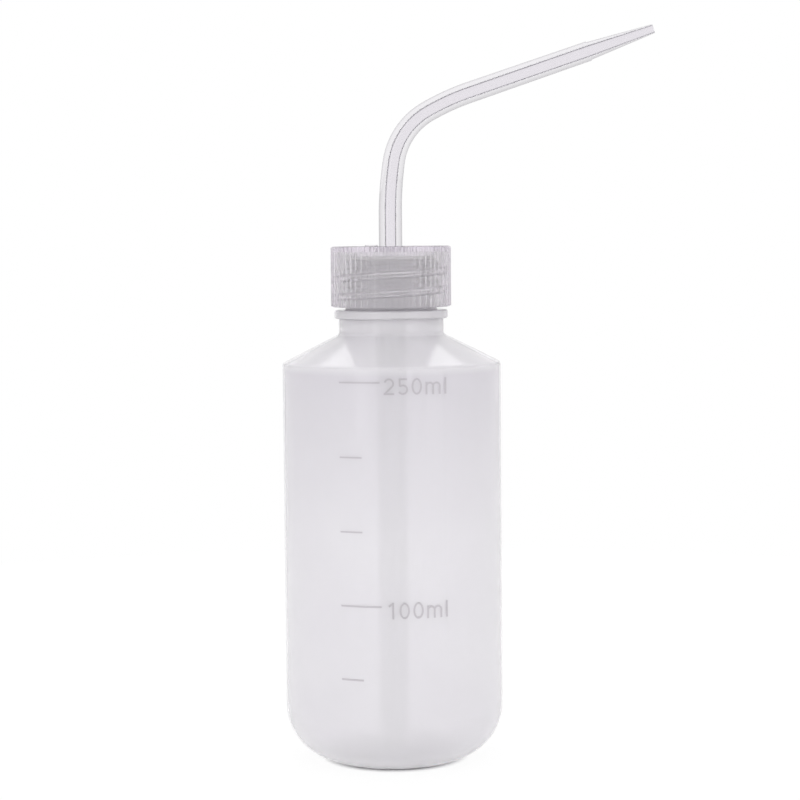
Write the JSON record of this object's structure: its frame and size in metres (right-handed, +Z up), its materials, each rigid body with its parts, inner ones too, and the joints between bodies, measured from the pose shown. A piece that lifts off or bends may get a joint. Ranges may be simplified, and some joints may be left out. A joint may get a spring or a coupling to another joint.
{
  "type": "wash bottle",
  "caption": "Squeezable round bottle with a ribbed screw cap and a bent, tapered spout that swivels; a dip tube reaches down to the bottom.",
  "frame": {"origin": "middle of the flat ring that the bottle stands on, on the bottle's axis", "axes": "+Z up along the bottle's axis, +X the way the spout points, -Y towards the graduations on the front"},
  "size_m": [0.1024, 0.0602, 0.2011],
  "materials": {
    "milky_polyethylene": "smooth, milky and translucent",
    "natural_polypropylene": "moulded, slightly glossy and translucent",
    "clear_plastic": "clear and glossy",
    "soft_seal": "soft and matt"
  },
  "bodies": {
    "bottle_body": {"bottle": "milky_polyethylene"},
    "closure_seal": {"sealing_washer": "soft_seal"},
    "cap_body": {"screw_cap": "natural_polypropylene"},
    "spout_body": {"spout": "clear_plastic", "dip_tube": "milky_polyethylene"}
  },
  "joints": [
    {"name": "closure_lift", "type": "slide", "parent": "bottle_body", "child": "closure_seal", "axis": [0, 0, 1], "range_m": [0, 0.01005]},
    {"name": "cap_turn", "type": "hinge", "parent": "closure_seal", "child": "cap_body", "pos_m": [0, 0, 0.1249], "axis": [0, 0, 1], "range_deg": [0, 720]},
    {"name": "spout_swivel", "type": "hinge", "parent": "closure_seal", "child": "spout_body", "pos_m": [0, 0, 0.1399], "axis": [0, 0, 1], "continuous": true}
  ],
  "couplings": [
    {"joint": "closure_lift", "follows": "cap_turn", "m_per_rad": 0.00079577}
  ]
}
